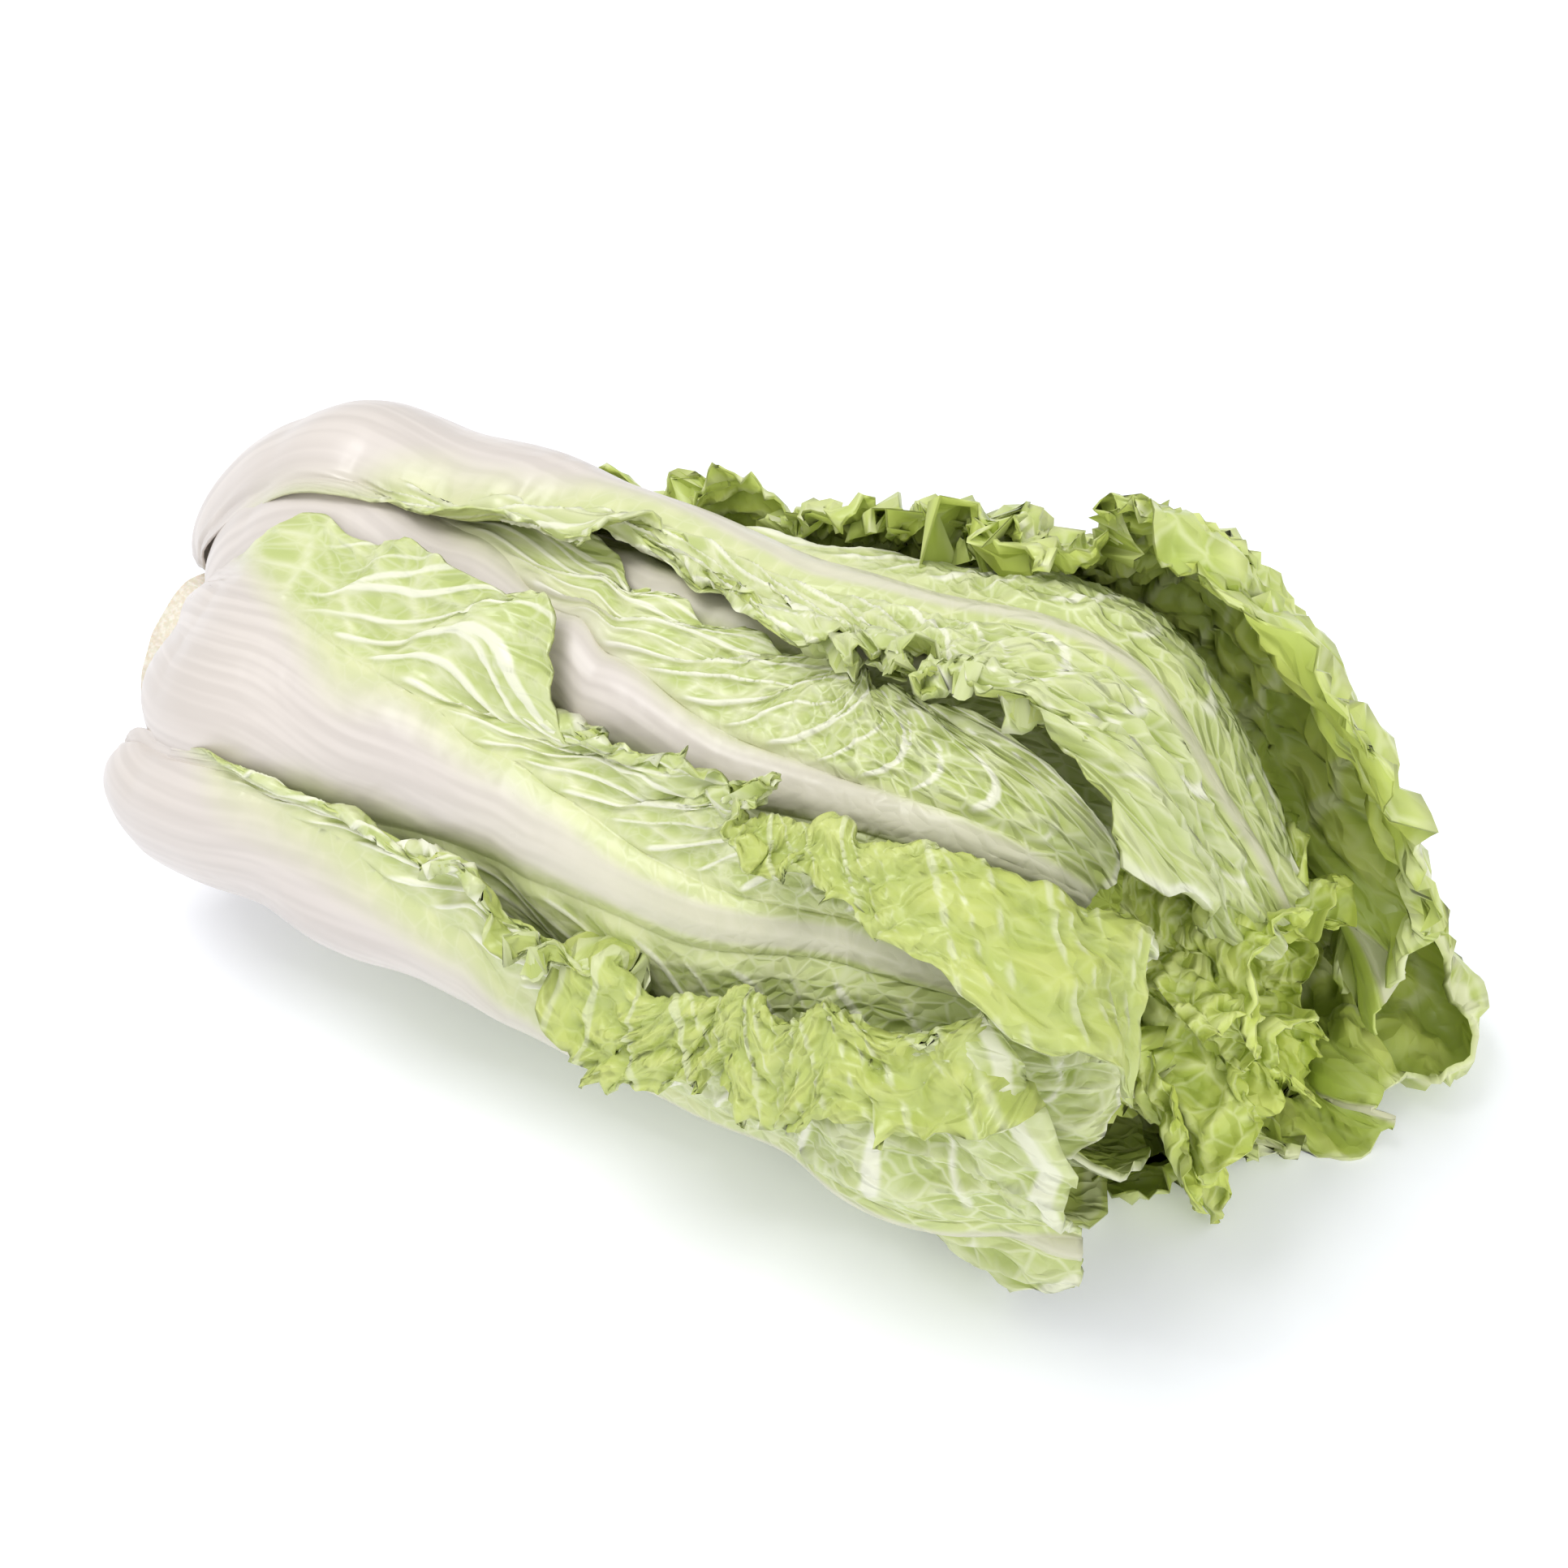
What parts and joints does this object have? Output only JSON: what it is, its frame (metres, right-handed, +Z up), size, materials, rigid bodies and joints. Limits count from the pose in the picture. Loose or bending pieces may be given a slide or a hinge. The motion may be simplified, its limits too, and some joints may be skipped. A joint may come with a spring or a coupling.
{
  "type": "napa cabbage",
  "caption": "Head of napa cabbage lying on its side: broad white ribs, pale green veined blades, torn ruffled edges and curled inner tips at the open leafy end.",
  "frame": {"origin": "on the surface it lies on, under the middle of its bounding box", "axes": "+X along the head towards the leafy end, -X at the cut stem, +Z up"},
  "size_m": [0.3146, 0.1558, 0.1373],
  "materials": {
    "stem": "cut stem, pale cream, moist",
    "heart": "folded leaf tissue, lime green, waxy",
    "inner_leaf_front": "leaf, white rib and bright green blistered blade, waxy",
    "inner_leaf_far": "leaf, white rib and bright green blistered blade, waxy",
    "inner_leaf_low": "leaf, white rib and bright green blistered blade, waxy",
    "under_leaf_back": "leaf, white rib and pale green blade, waxy",
    "under_leaf_front": "leaf, white rib and pale green blade, waxy",
    "under_leaf_far": "leaf, white rib and pale green blade, waxy",
    "upper_leaf": "leaf, white rib and pale green blade, waxy",
    "bottom_leaf": "leaf, white rib and pale green blade, waxy",
    "front_leaf": "leaf, white rib and pale green blade, waxy",
    "back_leaf": "leaf, white rib and pale green blade, waxy",
    "low_front_leaf": "leaf, white rib and pale green blade, waxy",
    "far_leaf": "leaf, white rib and lime green blade, waxy",
    "end_leaf": "leaf, white rib and lime green blade, waxy"
  },
  "bodies": {
    "root": {"stem": "stem", "heart": "heart", "inner_leaf_front": "inner_leaf_front", "inner_leaf_far": "inner_leaf_far", "inner_leaf_low": "inner_leaf_low", "under_leaf_back": "under_leaf_back", "under_leaf_front": "under_leaf_front", "under_leaf_far": "under_leaf_far", "upper_leaf": "upper_leaf", "bottom_leaf": "bottom_leaf", "front_leaf": "front_leaf", "back_leaf": "back_leaf", "low_front_leaf": "low_front_leaf", "far_leaf": "far_leaf", "end_leaf": "end_leaf"}
  },
  "joints": []
}
